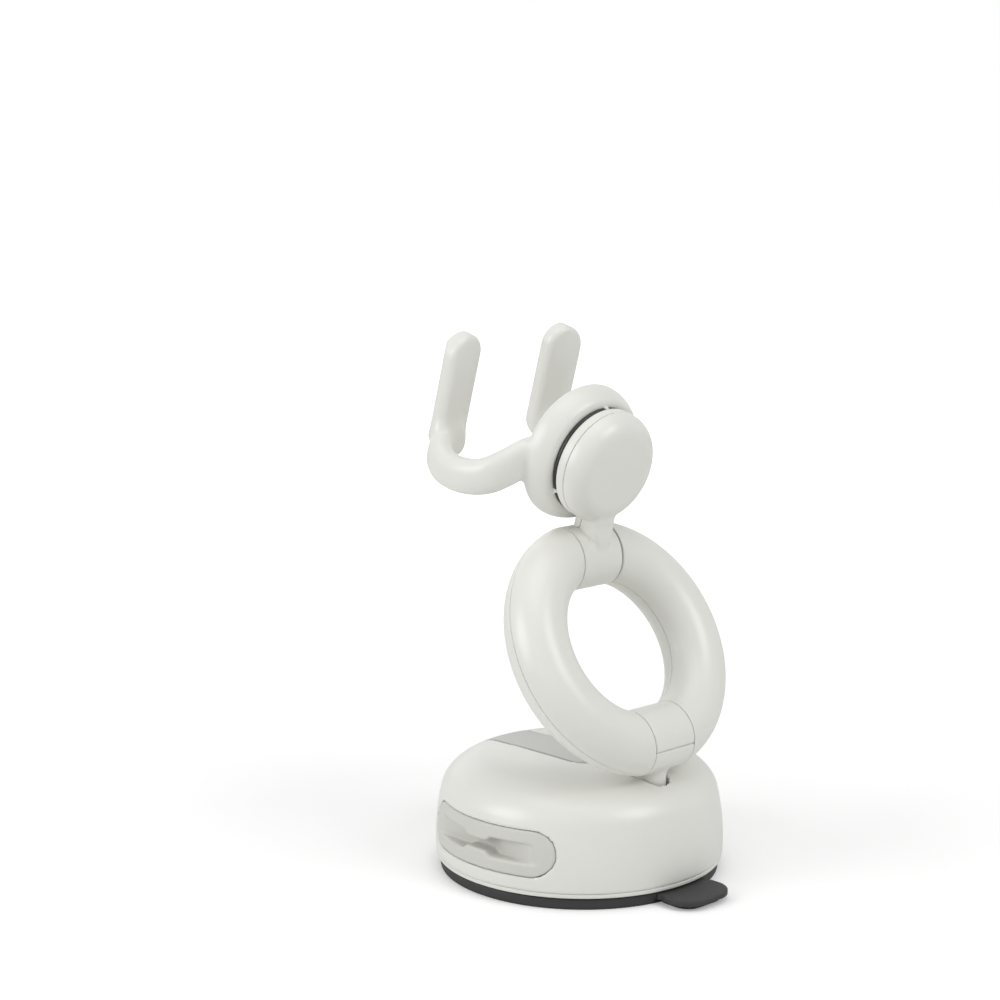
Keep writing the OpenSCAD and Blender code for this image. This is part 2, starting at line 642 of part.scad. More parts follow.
suction_cup();
suction_plunger();
base_plate();
base_shell();
base_screws();
suction_lever();
lever_pin();
cable_clip();
hinge_foot();
hinge_cap();
foot_screws();
ring_left_front();
ring_left_rear();
ring_right_front();
ring_right_rear();
lower_axle();
lower_axle_nut();
lower_friction_washers();
lower_spring_washer();
upper_axle();
upper_axle_nut();
upper_friction_washers();
upper_spring_washer();
head_rear_shell();
head_front_shell();
head_screws();
glide_ring();
cradle();
cradle_cap();
swivel_screw();
swivel_retainer();
swivel_spring_washer();
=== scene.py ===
import math

import bmesh
import bpy
import numpy as np
from mathutils import Matrix
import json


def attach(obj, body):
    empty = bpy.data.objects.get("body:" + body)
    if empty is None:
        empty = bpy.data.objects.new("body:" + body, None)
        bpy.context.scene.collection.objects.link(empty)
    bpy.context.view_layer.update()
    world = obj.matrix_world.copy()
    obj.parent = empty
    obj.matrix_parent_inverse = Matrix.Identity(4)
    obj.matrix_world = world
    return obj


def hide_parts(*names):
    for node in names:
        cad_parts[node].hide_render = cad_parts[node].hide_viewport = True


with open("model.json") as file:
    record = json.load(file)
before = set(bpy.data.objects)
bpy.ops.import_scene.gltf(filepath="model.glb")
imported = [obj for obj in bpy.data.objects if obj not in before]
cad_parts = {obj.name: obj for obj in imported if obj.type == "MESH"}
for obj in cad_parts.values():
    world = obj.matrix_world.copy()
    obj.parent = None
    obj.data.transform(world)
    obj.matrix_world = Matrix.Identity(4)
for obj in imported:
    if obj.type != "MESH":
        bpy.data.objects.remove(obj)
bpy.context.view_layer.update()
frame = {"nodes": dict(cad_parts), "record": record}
mm = 0.001  # fields and profiles below are in millimetres

joints = {joint["name"]: joint for joint in frame["record"]["behaviour"]["joints"]}
ringPin = np.array(joints["ring_pivot"]["pos_m"]) / mm
headPin = np.array(joints["head_pivot"]["pos_m"]) / mm
swivelPoint = np.array(joints["cradle_swivel"]["pos_m"]) / mm
swivelAxis = np.array(joints["cradle_swivel"]["axis"])


# A frame of its own for the ring and for the head: x across, y along "rear", z along "up"
def localFrame(origin, rear):
    across = np.array([1.0, 0, 0])
    rear = rear / np.linalg.norm(rear)
    return {"origin": origin, "axes": np.stack([across, rear, np.cross(across, rear)], 1)}


ringUp = (headPin - ringPin) / np.linalg.norm(headPin - ringPin)
ringFrame = localFrame(ringPin, np.cross(ringUp, [1.0, 0, 0]))
headFrame = localFrame(headPin, swivelAxis)
worldFrame = localFrame(np.zeros(3), np.array([0, 1.0, 0]))
ringRadius = np.linalg.norm(headPin - ringPin) / 2
axisHeight = np.linalg.norm(swivelPoint - headPin)


def toWorld(points, place):
    return points @ place["axes"].T + place["origin"]


# Round joins of two fields: a fillet of radius r on an outside corner, and the same in an inside corner
def roundMax(a, b, r):
    return np.minimum(np.maximum(a, b), -r) + np.hypot(np.maximum(a + r, 0), np.maximum(b + r, 0))


def roundMin(a, b, r):
    return -roundMax(-a, -b, r)


# Rounded rectangle in a plane
def boxField(u, v, halfU, halfV, corner):
    du, dv = np.abs(u) - halfU + corner, np.abs(v) - halfV + corner
    return np.minimum(np.maximum(du, dv), 0) + np.hypot(np.maximum(du, 0), np.maximum(dv, 0)) - corner


def smoothStep(t):
    t = np.clip(t, 0, 1)
    return t * t * (3 - 2 * t)


mesher = {
    "sharpAngle": 38,
    "doubles": 1e-7,
    "quickCell": 1.8,
    "evenRounds": 3,
    "evenShare": 0.6,
    "settleRounds": 3,
    "nudge": 0.004,
    "flattest": 0.05,
    "stride": 0.4,
}


# Mesh from arrays: foreach_set fills it, doubles at poles are merged, faces point outwards
def makePiece(name, points, quads, material, nodes, body):
    mesh = bpy.data.meshes.new(name)
    mesh.vertices.add(len(points))
    mesh.vertices.foreach_set("co", (np.asarray(points) * mm).astype(np.float32).ravel())
    mesh.loops.add(len(quads) * 4)
    mesh.loops.foreach_set("vertex_index", np.asarray(quads, dtype=np.int32).ravel())
    mesh.polygons.add(len(quads))
    mesh.polygons.foreach_set("loop_start", np.arange(0, len(quads) * 4, 4, dtype=np.int32))
    mesh.update(calc_edges=True)
    work = bmesh.new()
    work.from_mesh(mesh)
    bmesh.ops.remove_doubles(work, verts=work.verts, dist=mesher["doubles"])
    bmesh.ops.dissolve_degenerate(work, dist=mesher["doubles"], edges=work.edges)
    bmesh.ops.recalc_face_normals(work, faces=work.faces)
    for face in work.faces:
        face.smooth = True
    work.to_mesh(mesh)
    work.free()
    mesh.set_sharp_from_angle(angle=math.radians(mesher["sharpAngle"]))
    mesh.materials.append(material)
    piece = bpy.data.objects.new(name, mesh)
    bpy.context.scene.collection.objects.link(piece)
    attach(piece, body)
    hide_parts(*nodes)
    print(name, len(mesh.vertices), "points")


# Quads of a grid of rows and columns; a closed direction joins its last line to its first
def gridQuads(rows, columns, closeRows=False, closeColumns=False):
    r = np.arange(rows if closeRows else rows - 1)[:, None]
    c = np.arange(columns if closeColumns else columns - 1)[None, :]
    r2, c2 = (r + 1) % rows, (c + 1) % columns
    quads = np.stack([r * columns + c, r2 * columns + c, r2 * columns + c2, r * columns + c2], -1)
    return quads.reshape(-1, 4)


# Surface of revolution: a closed (radius, along) outline turned about the rear axis of a frame
def turnedPiece(name, outline, centreHeight, place, material, nodes, body, steps=256):
    outline = np.asarray(outline, float)
    angle = np.linspace(0, 2 * math.pi, steps, endpoint=False)[:, None]
    radius, along = outline[None, :, 0], outline[None, :, 1]
    x, z = radius * np.cos(angle), radius * np.sin(angle) + centreHeight
    local = np.stack([x, along + 0 * angle, z], -1)
    quads = gridQuads(steps, len(outline), True, True)
    makePiece(name, toWorld(local.reshape(-1, 3), place), quads, material, nodes, body)


# Corners of an outline become arcs: each entry is (u, v, corner radius)
def roundedOutline(corners, steps=6):
    corners = np.asarray(corners, float)
    result = []
    for here in range(len(corners)):
        point, radius = corners[here, :2], corners[here, 2]
        before = corners[here - 1, :2] - point
        after = corners[(here + 1) % len(corners), :2] - point
        before, after = before / np.linalg.norm(before), after / np.linalg.norm(after)
        half = math.acos(np.clip(before @ after, -1, 1)) / 2
        if radius == 0 or half > 1.55:  # a sharp corner, or nearly a straight line
            result.append(point[None])
            continue
        start = point + before * radius / math.tan(half)
        end = point + after * radius / math.tan(half)
        middle = point + (before + after) / np.linalg.norm(before + after) * radius / math.sin(half)
        a, b = start - middle, end - middle
        sweep = math.acos(np.clip(a @ b / radius**2, -1, 1))
        t = np.linspace(0, 1, steps)[:, None]
        result.append(middle + (np.sin((1 - t) * sweep) * a + np.sin(t * sweep) * b) / math.sin(sweep))
    return np.concatenate(result)


# Skin over field(x, y, z) = 0: a point in each grid cell that the level crosses, joined across each
# crossed edge of the grid, evened out, then slid down the field's slope until it lies on the level
def fieldSkin(field, low, high, cell):
    cell = cell * 1
    axes = [np.arange(lo, hi + cell, cell) for lo, hi in zip(low, high)]
    value = field(*np.meshgrid(*axes, indexing="ij"))
    inside = value < 0
    shape = tuple(n - 1 for n in inside.shape)
    corners = [(i, j, k) for i in (0, 1) for j in (0, 1) for k in (0, 1)]
    count = sum(inside[i:i + shape[0], j:j + shape[1], k:k + shape[2]].astype(np.int8)
                for i, j, k in corners)
    crossed = (count > 0) & (count < 8)
    number = np.full(shape, -1)
    cells = np.argwhere(crossed)
    number[crossed] = np.arange(len(cells))
    total, hits = np.zeros((len(cells), 3)), np.zeros(len(cells))
    unit = np.eye(3, dtype=int)
    quads = []
    for axis in range(3):
        u, v = unit[(axis + 1) % 3], unit[(axis + 2) % 3]
        for i in (0, 1):
            for j in (0, 1):
                start = i * u + j * v
                a = value[tuple((cells + start).T)]
                b = value[tuple((cells + start + unit[axis]).T)]
                cut = (a < 0) != (b < 0)
                t = a[cut] / (a[cut] - b[cut])
                total[cut] += start + unit[axis] * t[:, None]
                hits += cut
        steps = [slice(1, -1)] * 3
        steps[axis] = slice(0, -1)
        nexts = list(steps)
        nexts[axis] = slice(1, None)
        change = inside[tuple(steps)] != inside[tuple(nexts)]
        nodes = np.argwhere(change) + 1 - unit[axis]
        around = [nodes, nodes - u, nodes - u - v, nodes - v]
        ids = np.stack([number[tuple(n.T)] for n in around], 1)
        outward = inside[tuple(nodes.T)]
        quads.append(np.where(outward[:, None], ids, ids[:, ::-1]))
    quads = np.concatenate(quads)
    points = np.array(low) + (cells + total / hits[:, None]) * cell
    edges = np.concatenate([quads[:, [i, (i + 1) % 4]] for i in range(4)])
    edges = np.concatenate([edges, edges[:, ::-1]])
    links = np.bincount(edges[:, 0], minlength=len(points))[:, None]
    share = mesher["evenShare"]
    for _ in range(mesher["evenRounds"]):
        total = np.stack([np.bincount(edges[:, 0], points[edges[:, 1], k], len(points))
                          for k in range(3)], 1)
        points = settle(points * (1 - share) + share * total / links, field, cell, 1)
    return settle(points, field, cell, mesher["settleRounds"]), quads


# Newton's steps down the field's slope, none longer than a share of a cell
def settle(points, field, cell, rounds):
    nudge = mesher["nudge"]
    for _ in range(rounds):
        here = field(*points.T)
        slope = np.stack([(field(*(points + nudge * e).T) - here) / nudge for e in np.eye(3)], 1)
        move = slope * (here / np.maximum((slope**2).sum(1), mesher["flattest"]))[:, None]
        size = np.linalg.norm(move, axis=1, keepdims=True)
        points = points - move * np.minimum(1, mesher["stride"] * cell / np.maximum(size, 1e-9))
    return points


def fieldPiece(name, field, low, high, cell, place, material, nodes, body):
    points, quads = fieldSkin(field, low, high, cell)
    makePiece(name, toWorld(points, place), quads, material, nodes, body)


# Camera and set
camera = {
    "place": (0.3306, 0.32545, 0.1632),
    "look": (-0.67514, -0.71723, -0.17245),
    "lens": 77.91,
    "sensor": 36,
    "nearest": 0.01,
}


def makeCamera():
    look = np.array(camera["look"]) / np.linalg.norm(camera["look"])
    right = np.cross(look, [0, 0, 1.0])
    right = right / np.linalg.norm(right)
    up = np.cross(right, look)
    data = bpy.data.cameras.new("photoCamera")
    data.lens, data.sensor_width, data.clip_start = camera["lens"], camera["sensor"], camera["nearest"]
    eye = bpy.data.objects.new("photoCamera", data)
    rotation = Matrix(np.stack([right, up, -look], 1).tolist()).to_4x4()
    eye.matrix_world = Matrix.Translation(camera["place"]) @ rotation
    bpy.context.scene.collection.objects.link(eye)
    bpy.context.scene.camera = eye


light = {
    "key": {"place": (-0.15, 0.80, 0.70), "size": 0.55, "power": 3.2},
    "left": {"place": (0.84, -0.30, 0.42), "size": 0.6, "power": 3.5},
    "front": {"place": (-0.30, -0.75, 0.45), "size": 0.7, "power": 0.6},
    "top": {"place": (0.1, 0.1, 0.95), "size": 0.8, "power": 2.0},
    "aim": (0, 0, 0.055),
    "world": 0.4,
    "gloss": 0.85,
}


# Turns a lamp's back, its +Z, along this direction
def vectorTurn(back):
    back = np.asarray(back) / np.linalg.norm(back)
    across = np.cross([0, 0, 1.0], back)
    length = np.linalg.norm(across)
    across = across / length if length > 1e-6 else np.array([1.0, 0, 0])
    return Matrix(np.stack([across, np.cross(back, across), back], 1).tolist()).to_4x4()


def makeLights():
    for name in ("key", "left", "front", "top"):
        one = light[name]
        data = bpy.data.lights.new(name, "AREA")
        data.shape, data.size, data.energy = "DISK", one["size"], one["power"]
        lamp = bpy.data.objects.new(name, data)
        back = np.array(one["place"]) - light["aim"]
        lamp.matrix_world = Matrix.Translation(one["place"]) @ vectorTurn(back)
        bpy.context.scene.collection.objects.link(lamp)
    world = bpy.data.worlds.new("studio")
    bpy.context.scene.world = world
    world.use_nodes = True
    tree = world.node_tree
    tree.nodes.clear()
    out = tree.nodes.new("ShaderNodeOutputWorld")
    path = tree.nodes.new("ShaderNodeLightPath")
    shades = []
    for strength in (light["world"], light["gloss"], 1.0):
        shade = tree.nodes.new("ShaderNodeBackground")
        shade.inputs["Color"].default_value = (1, 1, 1, 1)
        shade.inputs["Strength"].default_value = strength
        shades.append(shade)
    shown = shades[0]
    for ray, shade in (("Is Glossy Ray", shades[1]), ("Is Camera Ray", shades[2])):
        mix = tree.nodes.new("ShaderNodeMixShader")
        tree.links.new(path.outputs[ray], mix.inputs[0])
        tree.links.new(shown.outputs[0], mix.inputs[1])
        tree.links.new(shade.outputs[0], mix.inputs[2])
        shown = mix
    tree.links.new(shown.outputs[0], out.inputs[0])


# The floor glows a little for the camera, more with the distance, so that it runs into the white backdrop
floorLook = {
    "side": 3.0,
    "grey": 0.86,
    "rough": 0.9,
    "specular": 0.1,
    "near": 0.08,
    "far": 0.7,
    "glowNear": 0.22,
    "glowFar": 1.0,
}


def makeFloor():
    side, grey = floorLook["side"], floorLook["grey"]
    corners = [(-side, -side, 0), (side, -side, 0), (side, side, 0), (-side, side, 0)]
    mesh = bpy.data.meshes.new("floor")
    mesh.from_pydata(corners, [], [(0, 1, 2, 3)])
    floor = bpy.data.objects.new("floor", mesh)
    bpy.context.scene.collection.objects.link(floor)
    material = bpy.data.materials.new("paleFloor")
    material.use_nodes = True
    tree = material.node_tree
    shader = tree.nodes["Principled BSDF"]
    shader.inputs["Base Color"].default_value = (grey, grey, grey, 1)
    shader.inputs["Roughness"].default_value = floorLook["rough"]
    shader.inputs["Specular IOR Level"].default_value = floorLook["specular"]
    glow = tree.nodes.new("ShaderNodeEmission")
    where = tree.nodes.new("ShaderNodeTexCoord")
    far = tree.nodes.new("ShaderNodeVectorMath")
    far.operation = "LENGTH"
    rise = tree.nodes.new("ShaderNodeMapRange")
    rise.inputs["From Min"].default_value = floorLook["near"]
    rise.inputs["From Max"].default_value = floorLook["far"]
    rise.inputs["To Min"].default_value = floorLook["glowNear"]
    rise.inputs["To Max"].default_value = floorLook["glowFar"]
    tree.links.new(where.outputs["Object"], far.inputs[0])
    tree.links.new(far.outputs["Value"], rise.inputs["Value"])
    tree.links.new(rise.outputs["Result"], glow.inputs["Strength"])
    add = tree.nodes.new("ShaderNodeAddShader")
    mix = tree.nodes.new("ShaderNodeMixShader")
    path = tree.nodes.new("ShaderNodeLightPath")
    tree.links.new(path.outputs["Is Camera Ray"], mix.inputs[0])
    tree.links.new(shader.outputs[0], mix.inputs[1])
    tree.links.new(shader.outputs[0], add.inputs[0])
    tree.links.new(glow.outputs[0], add.inputs[1])
    tree.links.new(add.outputs[0], mix.inputs[2])
    tree.links.new(mix.outputs[0], tree.nodes["Material Output"].inputs[0])
    mesh.materials.append(material)


makeCamera()
makeLights()
makeFloor()
print("camera, lights and floor set")


# Colour as written on screen, to the shader's scale
def linear(*colour):
    return tuple(c / 12.92 if c <= 0.04045 else ((c + 0.055) / 1.055) ** 2.4
                 for c in (part / 255 for part in colour))


# Finishes: a faint mottle in the colour, and a fine grain that moves the gloss and the bump together
grain = {"mottleScale": 60, "mottleDetail": 3, "mottleLow": 0.3, "mottleHigh": 0.7, "fineDetail": 2,
         "roughSpread": 0.04, "bump": 0.5}


def finish(name, colour, roughness, grainSize, grainDepth, mottle, metal=0.0):
    material = bpy.data.materials.new(name)
    material.use_nodes = True
    tree = material.node_tree
    shader = tree.nodes["Principled BSDF"]
    shader.inputs["Metallic"].default_value = metal
    where = tree.nodes.new("ShaderNodeTexCoord")
    broad = tree.nodes.new("ShaderNodeTexNoise")
    broad.inputs["Scale"].default_value = grain["mottleScale"]
    broad.inputs["Detail"].default_value = grain["mottleDetail"]
    ramp = tree.nodes.new("ShaderNodeValToRGB")
    base = np.array(linear(*colour))
    ramp.color_ramp.elements[0].position = grain["mottleLow"]
    ramp.color_ramp.elements[1].position = grain["mottleHigh"]
    ramp.color_ramp.elements[0].color = (*(base * (1 - mottle)), 1)
    ramp.color_ramp.elements[1].color = (*np.minimum(base * (1 + mottle), 1), 1)
    fine = tree.nodes.new("ShaderNodeTexNoise")
    fine.inputs["Scale"].default_value = 1 / (grainSize * mm)
    fine.inputs["Detail"].default_value = grain["fineDetail"]
    rough = tree.nodes.new("ShaderNodeMapRange")
    rough.inputs["To Min"].default_value = roughness - grain["roughSpread"]
    rough.inputs["To Max"].default_value = roughness + grain["roughSpread"]
    bump = tree.nodes.new("ShaderNodeBump")
    bump.inputs["Strength"].default_value = grain["bump"]
    bump.inputs["Distance"].default_value = grainDepth * mm
    link = tree.links.new
    link(where.outputs["Object"], broad.inputs["Vector"])
    link(where.outputs["Object"], fine.inputs["Vector"])
    link(broad.outputs["Fac"], ramp.inputs["Fac"])
    link(ramp.outputs["Color"], shader.inputs["Base Color"])
    link(fine.outputs["Fac"], rough.inputs["Value"])
    link(rough.outputs["Result"], shader.inputs["Roughness"])
    link(fine.outputs["Fac"], bump.inputs["Height"])
    link(bump.outputs["Normal"], shader.inputs["Normal"])
    return material


# Name, colour, roughness, grain size and depth in millimetres, mottle
offWhite = finish("offWhiteSatinPlastic", (228, 228, 222), 0.31, 0.22, 0.012, 0.008)
# The lever is the body's off-white plastic; its darker grey is painted shade from the ring lying over it
leverPaintedShade = finish("offWhiteSatinPlasticPaintedShade", (191, 191, 186), 0.36, 0.22, 0.012, 0.008)
softGrey = finish("paleGreySoftInsert", (206, 206, 200), 0.55, 0.3, 0.02, 0.012)
cupBlack = finish("mattBlackRubber", (50, 50, 51), 0.62, 0.35, 0.035, 0.05)
glideBlack = finish("smoothBlackAcetal", (38, 38, 39), 0.42, 0.3, 0.006, 0.04)
innerBlack = finish("plainDarkMoulding", (70, 70, 72), 0.55, 0.3, 0.01, 0.05)
plainSteel = finish("plainSteel", (180, 182, 184), 0.32, 0.12, 0.004, 0.05, metal=1.0)

steelNodes = ("base_screws", "lever_pin", "foot_screws", "lower_axle", "lower_axle_nut",
              "lower_spring_washer", "upper_axle", "upper_axle_nut", "upper_spring_washer",
              "head_screws", "swivel_screw", "swivel_retainer", "swivel_spring_washer")
darkNodes = ("suction_plunger", "lower_friction_washers")
for names, material in ((steelNodes, plainSteel), (darkNodes, innerBlack)):
    for nodeName in names:
        frame["nodes"][nodeName].data.materials.clear()
        frame["nodes"][nodeName].data.materials.append(material)
print("finishes set")


# Base: crowned shell, flush lever, soft clip and the plate's rim
base = {
    "radius": 32.0,
    "top": 25.1,
    "sideArc": 50.0,
    "sideMid": 6.5,
    "crownArc": 555.0,
    "shoulder": 6.2,
    "wall": 2.3,
    "bottom": 3.75,
    "bottomEdge": 0.3,
    "lip": 0.2,
    "clipLip": 0.3,
    "cell": 0.42,
}
lever = {
    "half": 5.4,
    "gap": 0.6,
    "endY": 2.4,
    "tipZ": 8.6,
    "corner": 1.6,
    "edge": 0.25,
    "skin": 3.0,
    "cell": 0.3,
}
clip = {
    "middle": 11.65,
    "height": 9.7,
    "half": 18.3,
    "inset": 0.05,
    "seam": 0.16,
    "edge": 0.35,
    "depth": 5.2,
    "backX": 20,
    "floorX": 28.2,
    "groove": 4.1,
    "pinch": 2.1,
    "pinchEnd": 4.4,
    "pinchRun": 2.0,
    "floorEdge": 0.5,
    "lipEdge": 0.6,
    "cell": 0.22,
}
footSlot = {"half": 3.25, "front": 15.6, "rear": 25.7, "corner": 3.1, "low": 14}


# Side arc and crown arc, met by the shoulder's fillet
def crownField(x, y, z, inset=0.0):
    r = np.hypot(x, y)
    side = np.hypot(r - base["radius"] + base["sideArc"], z - base["sideMid"]) - base["sideArc"] + inset
    crown = np.hypot(r, z - base["top"] + base["crownArc"]) - base["crownArc"] + inset
    return roundMax(side, crown, base["shoulder"] - inset)


# Straight band over the front, round at its rear end
def leverOutline(x, y, z, half, tip):
    band = np.hypot(x, np.maximum(y - lever["endY"], 0)) - half
    return roundMax(band, tip - z, lever["corner"])


def clipOutline(y, z, grow):
    r = clip["height"] / 2 + grow
    span = clip["half"] + grow - r
    return np.hypot(np.maximum(np.abs(y) - span, 0), z - clip["middle"]) - r


def footSlotField(x, y, z):
    middle = (footSlot["front"] + footSlot["rear"]) / 2
    plan = boxField(x, y - middle, footSlot["half"], footSlot["rear"] - middle, footSlot["corner"])
    return np.maximum(plan, footSlot["low"] - z)


def baseShellField(x, y, z):
    shell = np.maximum(crownField(x, y, z), -crownField(x, y, z, base["wall"]))
    shell = roundMax(shell, base["bottom"] - z, base["bottomEdge"])
    slot = leverOutline(x, y, z, lever["half"] + lever["gap"], lever["tipZ"] - lever["gap"])
    shell = roundMax(shell, -slot, base["lip"])
    shell = roundMax(shell, -footSlotField(x, y, z), base["lip"])
    clipHole = np.maximum(clipOutline(y, z, clip["seam"]), clip["backX"] - x)
    return roundMax(shell, -clipHole, base["clipLip"])


def leverField(x, y, z):
    outline = leverOutline(x, y, z, lever["half"], lever["tipZ"])
    skin = roundMax(crownField(x, y, z), outline, lever["edge"])
    return np.maximum(skin, -crownField(x, y, z, lever["skin"]))


# Stadium insert; the groove's floor is a plane, so the groove runs out at both ends
def clipField(x, y, z):
    outline = np.maximum(clipOutline(y, z, 0), clip["backX"] - x)
    skin = roundMax(crownField(x, y, z, clip["inset"]), outline, clip["edge"])
    skin = np.maximum(skin, -crownField(x, y, z, clip["depth"]))
    half = clip["groove"] / 2
    half = half - (half - clip["pinch"] / 2) * smoothStep((clip["pinchEnd"] - np.abs(y)) / clip["pinchRun"])
    groove = roundMax(clip["floorX"] - x, np.abs(z - clip["middle"]) - half, clip["floorEdge"])
    return roundMax(skin, -groove, clip["lipEdge"])


fieldPiece("baseShell", baseShellField, (-33, -33, 3), (33, 33, 26), base["cell"], worldFrame,
           offWhite, ["base_shell"], "base")
# the lever takes the darker finish, which paints the ring's shade on it
fieldPiece("suctionLever", leverField, (-6.5, -33, 8), (6.5, 9.5, 26), lever["cell"], worldFrame,
           leverPaintedShade, ["suction_lever"], "lever")
fieldPiece("cableClip", clipField, (19, -19.5, 6), (33, 19.5, 17.5), clip["cell"], worldFrame,
           softGrey, ["cable_clip"], "base")

# Base plate: a closed section (radius, height, corner radius) about the upright axis
upright = {"origin": np.zeros(3), "axes": np.array([[1.0, 0, 0], [0, 0, 1.0], [0, 1.0, 0]])}
plateRim = [(24, 2.4, 0), (29.6, 2.4, 0), (30.4, 2.7, 0.2), (31.75, 2.7, 0.4), (31.8, 3.7, 0.3),
            (29.2, 3.7, 0), (29.2, 5.6, 0.3), (24, 5.6, 0)]
turnedPiece("basePlate", roundedOutline(plateRim), 0, upright, offWhite, ["base_plate"], "base")


# Cup: one thin moulding with its pull tab, notched at its root, and the tab's lower step
cup = {
    "radius": 30.9,
    "thick": 2.4,
    "edge": 0.35,
    "tabRoot": 27,
    "tabReach": 39.9,
    "tabHalf": 7.8,
    "corner": 5.2,
    "top": 2.35,
    "under": 1.05,
    "notch": 0.8,
    "notchOut": 0.35,
    "notchBehind": 0.9,
    "stepIn": 1.5,
    "stepLow": 0.1,
    "stepLap": 0.1,
    "stepEdge": 0.25,
    "cell": 0.38,
}


def cupField(x, y, z):
    r = np.hypot(x, y)
    disc = roundMax(r - cup["radius"], np.maximum(-z, z - cup["thick"]), cup["edge"])
    middle = (cup["tabRoot"] + cup["tabReach"]) / 2
    plan = boxField(x, y - middle, cup["tabHalf"], cup["tabReach"] - middle, cup["corner"])
    notch = np.hypot(np.abs(x) - cup["tabHalf"] - cup["notchOut"], y - cup["radius"] - cup["notchBehind"])
    notch = notch - cup["notch"]
    slab = np.maximum(cup["under"] - z, z - cup["top"])
    upper = roundMax(np.maximum(plan, -notch), slab, cup["edge"])
    slab = np.maximum(cup["stepLow"] - z, z - cup["under"] - cup["stepLap"])
    lower = roundMax(plan + cup["stepIn"], slab, cup["stepEdge"])
    return np.minimum(disc, np.minimum(upper, lower))


fieldPiece("suctionCup", cupField, (-32, -32, -0.6), (32, 41, 3.0), cup["cell"], worldFrame,
           cupBlack, ["suction_cup"], "base")


# Ring arm and the lower hinge's foot and cap
ring = {
    "tube": 6.75,
    "wall": 1.9,
    "start": 6.05,
    "endEdge": 0.25,
    "endWall": 1.95,
    "bore": 1.6,
    "seam": 0.06,
    "seamEdge": 0.06,
    "seamSteps": 5,
    "insideFrom": 0.02,
    "endSteps": 7,
    "outerSteps": 66,
    "innerSteps": 36,
    "roundSteps": 130,
}
foot = {"finHalf": 2.75, "finFront": 17.6, "finRear": 24.9, "finCorner": 2.6, "finLow": 9, "finTop": -0.2,
        "join": 1.4, "barrelHalf": 5.9, "seam": 0.06, "seamEdge": 0.1, "cell": 0.3}
barrelEdge = 0.2
lowerOut = -ringUp[1:]
upperOut = (headFrame["axes"].T @ ringUp)[1:]


# A barrel's section is the one that the ring's cut ends show, so that all three are flush; out is the
# way from the ring's middle, as (y, z) of the frame in use
def barrelField(x, y, z, left, right, out):
    middle, half = (left + right) / 2, (right - left) / 2
    along, across = y * out[0] + z * out[1], y * out[1] - z * out[0]
    wall = np.hypot(across, np.hypot(ringRadius + along, ring["start"]) - ringRadius) - ring["tube"]
    return roundMax(wall, np.abs(x - middle) - half, barrelEdge)


def lowerBarrel(x, y, z):
    return barrelField(x, y, z, -foot["barrelHalf"], foot["barrelHalf"], lowerOut)


def hingeFootField(x, y, z):
    middle = (foot["finFront"] + foot["finRear"]) / 2 - ringPin[1]
    long = foot["finRear"] - ringPin[1] - middle
    fin = boxField(x, y - middle, foot["finHalf"], long, foot["finCorner"])
    fin = np.maximum(fin, np.maximum(z - foot["finTop"], foot["finLow"] - ringPin[2] - z))
    return roundMax(roundMin(lowerBarrel(x, y, z), fin, foot["join"]), z + foot["seam"], foot["seamEdge"])


def hingeCapField(x, y, z):
    return roundMax(lowerBarrel(x, y, z), foot["seam"] - z, foot["seamEdge"])


lowerFrame = localFrame(ringPin, np.array([0, 1.0, 0]))
fieldPiece("hingeFoot", hingeFootField, (-7, -8, -24), (7, 8, 1), foot["cell"], lowerFrame,
           offWhite, ["hinge_foot"], "base")
fieldPiece("hingeCap", hingeCapField, (-7, -8, -1), (7, 8, 8), foot["cell"], lowerFrame,
           offWhite, ["hinge_cap"], "base")


# Each half shell of the ring is a D-shaped section carried round the ring, cut square at the barrels.
# The section is rounded at the seam; it goes out along the outer arc and back along the inner one
def sectionLoop(outer, inner, face):
    lip, gap = ring["seamEdge"], ring["seam"]
    first = math.asin((gap + lip) / (outer - lip))
    turn = np.linspace(-math.pi / 2, first, ring["seamSteps"])
    middle = (outer - lip) * math.cos(first)
    corner = np.stack([middle + lip * np.cos(turn), gap + lip + lip * np.sin(turn)], 1)
    sweep = np.linspace(first, math.pi - first, ring["outerSteps"])[1:-1]
    arc = np.stack([outer * np.cos(sweep), outer * np.sin(sweep)], 1)
    back = np.linspace(math.pi - ring["insideFrom"], ring["insideFrom"], ring["innerSteps"])
    inside = np.stack([inner * np.cos(back), np.maximum(inner * np.sin(back), gap)], 1)
    loop = np.concatenate([corner, arc, corner[::-1] * [-1, 1], inside])
    return loop * [1, face]


